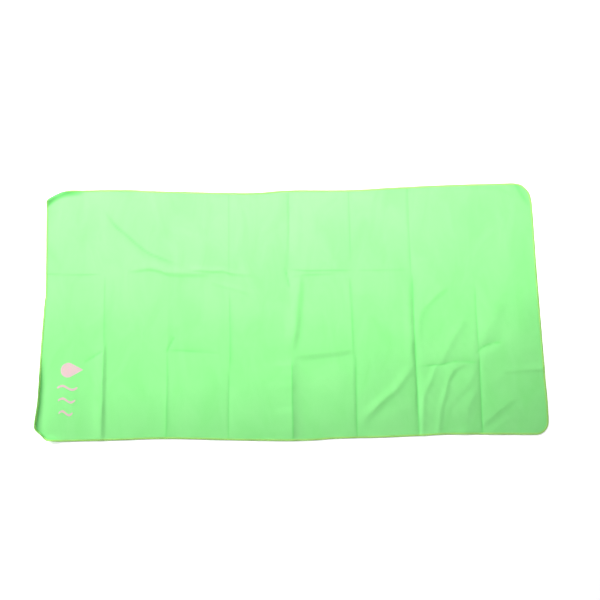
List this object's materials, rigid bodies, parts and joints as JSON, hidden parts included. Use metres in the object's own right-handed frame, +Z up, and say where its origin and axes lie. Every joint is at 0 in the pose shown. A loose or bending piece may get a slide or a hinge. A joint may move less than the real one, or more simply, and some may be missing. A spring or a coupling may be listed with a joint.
{
  "type": "quick dry towel",
  "caption": "Thin oblong microfibre towel with rounded corners and an overlocked edge, lying flat, that folds in half over its middle crease.",
  "frame": {"origin": "on the surface that the towel lies on, below the middle of its laid-out rectangle", "axes": "+X along the towel's length, +Y across it towards the far long edge, +Z up out of its printed side"},
  "size_m": [1.4, 0.7, 0.0018],
  "materials": {
    "suede_microfibre": "matt brushed suede microfibre knit, light green",
    "overlock_thread": "soft textured polyester thread, lime",
    "print_film": "thin flexible heat transfer print, pale pink, satin"
  },
  "bodies": {
    "left_half": {"cloth_left": "suede_microfibre", "upper_looper_thread_left": "overlock_thread", "lower_looper_thread_left": "overlock_thread", "needle_thread_left": "overlock_thread", "printed_drop": "print_film", "printed_ripple_1": "print_film", "printed_ripple_2": "print_film", "printed_ripple_3": "print_film"},
    "right_half": {"cloth_right": "suede_microfibre", "upper_looper_thread_right": "overlock_thread", "lower_looper_thread_right": "overlock_thread", "needle_thread_right": "overlock_thread"}
  },
  "joints": [
    {"name": "centre_fold", "type": "hinge", "parent": "left_half", "child": "right_half", "pos_m": [0, 0, 0.007], "axis": [0, -1, 0], "range_deg": [0, 180]}
  ]
}
